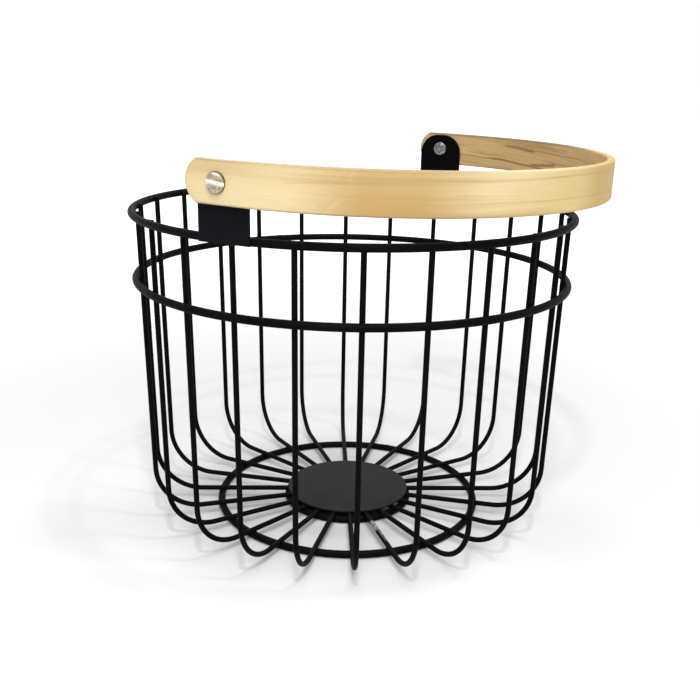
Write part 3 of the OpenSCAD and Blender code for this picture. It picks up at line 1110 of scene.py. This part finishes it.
def floor_glow(tree, spot):
    """How much the floor is lifted towards white, more the farther it lies from the basket."""
    away = distance(tree, spot, GLOW_CENTRE)
    near_glow = ranged(tree, away, 0.06, 0.13, 0.0, 0.26)
    far_glow = ranged(tree, away, 0.20, 1.0, 0.0, 0.75)
    glow = plus(tree, near_glow, far_glow)
    for across, along, reach, strength in FLOOR_PATCHES:
        off_patch = distance(tree, spot, (across, along, 0))
        glow = plus(tree, glow, ranged(tree, off_patch, 0.01, reach, strength, 0.0))
    return glow


def studio_floor():
    deselect()
    bpy.ops.mesh.primitive_plane_add(size=12, location=(0, 0, 0))
    floor = named("studio_floor")
    finish = bpy.data.materials.new("studio_white")
    finish.use_nodes = True
    tree = finish.node_tree
    tree.nodes.clear()
    paper = tree.nodes.new("ShaderNodeBsdfDiffuse")
    spot = tree.nodes.new("ShaderNodeTexCoord").outputs["Object"]
    past_disc = ranged(tree, distance(tree, spot, (0, 0, 0)), 0.0345, 0.0385)
    tree.links.new(mixed(tree, past_disc, SHADED_PAPER, WHITE_PAPER), paper.inputs["Color"])
    lift = tree.nodes.new("ShaderNodeEmission")
    tree.links.new(times(tree, seen_rays(tree), floor_glow(tree, spot)), lift.inputs["Strength"])
    both = tree.nodes.new("ShaderNodeAddShader")
    tree.links.new(paper.outputs[0], both.inputs[0])
    tree.links.new(lift.outputs[0], both.inputs[1])
    out = tree.nodes.new("ShaderNodeOutputMaterial")
    tree.links.new(both.outputs[0], out.inputs["Surface"])
    floor.data.materials.append(finish)


def studio_air():
    world = bpy.data.worlds.new("studio_air")
    bpy.context.scene.world = world
    world.use_nodes = True
    tree = world.node_tree
    air = tree.nodes["Background"]
    air.inputs["Color"].default_value = (1, 1, 1, 1)
    brightness = ranged(tree, seen_rays(tree), 0, 1, AIR_LIGHT, AIR_SEEN, soft=False)
    tree.links.new(brightness, air.inputs["Strength"])


def softbox(name, place, target, width, height, power):
    deselect()
    bpy.ops.object.light_add(type="AREA", location=place)
    lamp = bpy.context.object
    lamp.name = name
    lamp.data.shape = "RECTANGLE"
    lamp.data.size = width
    lamp.data.size_y = height
    lamp.data.energy = power
    lamp.rotation_euler = (Vector(target) - Vector(place)).to_track_quat("-Z", "Y").to_euler()


def photo_camera():
    deselect()
    bpy.ops.object.camera_add(location=CAMERA_PLACE)
    camera = bpy.context.object
    camera.name = "photo_camera"
    camera.data.sensor_width = CAMERA_SENSOR
    camera.data.lens = CAMERA_LENS
    heading = Matrix.Rotation(math.radians(CAMERA_HEADING), 3, "Z")
    fall = Matrix.Rotation(math.radians(90 - CAMERA_FALL), 3, "X")
    roll = Matrix.Rotation(math.radians(CAMERA_ROLL), 3, "Z")
    camera.rotation_euler = (heading @ fall @ roll).to_euler()
    bpy.context.scene.camera = camera


studio_floor()
studio_air()
softbox("overhead_softbox", place=(0.02, -0.05, 1.15), target=(0, 0, 0.1),
        width=0.60, height=0.60, power=2.7)
softbox("front_softbox", place=(0.50, -0.97, 0.95), target=(0.05, 0, 0.15),
        width=0.60, height=0.50, power=6.8)
softbox("camera_lamp", place=(0.25, -0.48, 0.95), target=(0, 0, 0.05),
        width=0.06, height=0.06, power=2.5)
softbox("right_lamp", place=(0.41, 0.03, 1.6), target=(0, 0, 0.05),
        width=0.10, height=0.10, power=3.0)
photo_camera()
bpy.context.scene.view_settings.view_transform = "Standard"
